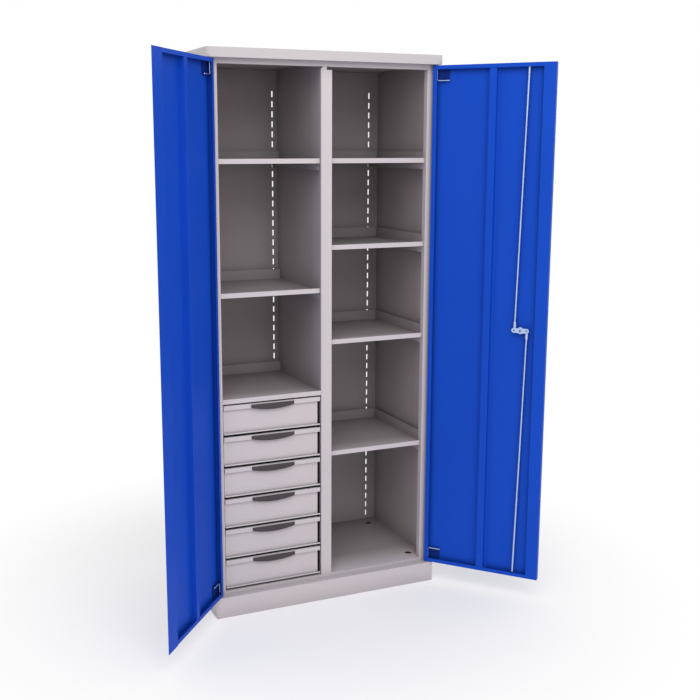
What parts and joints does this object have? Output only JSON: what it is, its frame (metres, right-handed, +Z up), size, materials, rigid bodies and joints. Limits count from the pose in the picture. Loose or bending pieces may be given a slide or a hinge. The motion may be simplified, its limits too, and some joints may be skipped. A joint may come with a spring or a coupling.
{
  "type": "tool cabinet",
  "caption": "Tall sheet-steel tool cabinet with two hinged doors, tray shelves, a block of sliding drawers beside a divider, and a lever lock with rods on one door.",
  "frame": {"origin": "middle of the cabinet's footprint, on the floor, under the plinth", "axes": "+Z up, -Y out of the front (the doors' side), +X to the right seen from the front"},
  "size_m": [1.3986, 0.837, 1.95],
  "materials": {
    "body_grey": "fine textured powder coat",
    "door_blue": "smooth satin powder coat",
    "zinc": "bright zinc plate",
    "bracket_blue": "dark blue coat",
    "dark_plastic": "moulded, fine matt grain",
    "white_plastic": "moulded"
  },
  "bodies": {
    "carcass": {"plinth": "body_grey", "top_cap": "body_grey", "floor_pan": "body_grey", "left_side_panel": "body_grey", "right_side_panel": "body_grey", "left_stile": "body_grey", "right_stile": "body_grey", "top_front_rail": "body_grey", "back_panel": "body_grey", "divider_sheet": "body_grey", "divider_post": "body_grey", "left_shelf_1": "body_grey", "left_shelf_2": "body_grey", "right_shelf_1": "body_grey", "right_shelf_2": "body_grey", "right_shelf_3": "body_grey", "right_shelf_4": "body_grey", "left_shelf_carriers": "body_grey", "right_shelf_carriers": "body_grey", "drawer_block_top": "body_grey", "drawer_block_outer_side": "body_grey", "drawer_block_inner_side": "body_grey", "outer_drawer_runners": "zinc", "inner_drawer_runners": "zinc", "levelling_feet": "zinc", "foot_brackets": "zinc", "hinge_bushes": "white_plastic"},
    "drawer_1": {"drawer_1_box": "body_grey", "drawer_1_front": "body_grey", "drawer_1_grip": "dark_plastic"},
    "drawer_2": {"drawer_2_box": "body_grey", "drawer_2_front": "body_grey", "drawer_2_grip": "dark_plastic"},
    "drawer_3": {"drawer_3_box": "body_grey", "drawer_3_front": "body_grey", "drawer_3_grip": "dark_plastic"},
    "drawer_4": {"drawer_4_box": "body_grey", "drawer_4_front": "body_grey", "drawer_4_grip": "dark_plastic"},
    "drawer_5": {"drawer_5_box": "body_grey", "drawer_5_front": "body_grey", "drawer_5_grip": "dark_plastic"},
    "drawer_6": {"drawer_6_box": "body_grey", "drawer_6_front": "body_grey", "drawer_6_grip": "dark_plastic"},
    "left_door": {"left_door_skin": "door_blue", "left_door_stiffener": "door_blue", "left_door_overlap_strip": "door_blue", "left_hinge_pins": "zinc", "left_hinge_brackets": "bracket_blue"},
    "right_door": {"right_door_skin": "door_blue", "right_door_stiffener": "door_blue", "right_hinge_pins": "zinc", "right_hinge_brackets": "bracket_blue", "lock_body": "zinc"},
    "lock": {"lock_lever": "dark_plastic", "lock_cam": "zinc"},
    "upper_rod": {"upper_lock_rod": "zinc"},
    "lower_rod": {"lower_lock_rod": "zinc"}
  },
  "joints": [
    {"name": "left_door_hinge", "type": "hinge", "parent": "carcass", "child": "left_door", "pos_m": [-0.417, -0.239, 1], "axis": [0, 0, -1], "range_deg": [-130, 45]},
    {"name": "right_door_hinge", "type": "hinge", "parent": "carcass", "child": "right_door", "pos_m": [0.417, -0.239, 1], "axis": [0, 0, 1], "range_deg": [-131, 45]},
    {"name": "drawer_1_slide", "type": "slide", "parent": "carcass", "child": "drawer_1", "axis": [0, -1, 0], "range_m": [0, 0.33]},
    {"name": "drawer_2_slide", "type": "slide", "parent": "carcass", "child": "drawer_2", "axis": [0, -1, 0], "range_m": [0, 0.33]},
    {"name": "drawer_3_slide", "type": "slide", "parent": "carcass", "child": "drawer_3", "axis": [0, -1, 0], "range_m": [0, 0.33]},
    {"name": "drawer_4_slide", "type": "slide", "parent": "carcass", "child": "drawer_4", "axis": [0, -1, 0], "range_m": [0, 0.33]},
    {"name": "drawer_5_slide", "type": "slide", "parent": "carcass", "child": "drawer_5", "axis": [0, -1, 0], "range_m": [0, 0.33]},
    {"name": "drawer_6_slide", "type": "slide", "parent": "carcass", "child": "drawer_6", "axis": [0, -1, 0], "range_m": [0, 0.33]},
    {"name": "lock_turn", "type": "hinge", "parent": "right_door", "child": "lock", "pos_m": [0.63299, -0.48823, 0.996], "axis": [0.7547, 0.6561, 0], "range_deg": [0, 90]},
    {"name": "upper_rod_pivot", "type": "hinge", "parent": "lock", "child": "upper_rod", "pos_m": [0.61823, -0.47125, 0.996], "axis": [0.7547, 0.6561, 0], "range_deg": [-92, 0.5]},
    {"name": "lower_rod_pivot", "type": "hinge", "parent": "lock", "child": "lower_rod", "pos_m": [0.64775, -0.50521, 0.996], "axis": [0.7547, 0.6561, 0], "range_deg": [-92, 0.5]}
  ],
  "couplings": [
    {"joint": "upper_rod_pivot", "follows": "lock_turn", "ratio": -1.0156},
    {"joint": "lower_rod_pivot", "follows": "lock_turn", "ratio": -1.0156}
  ]
}
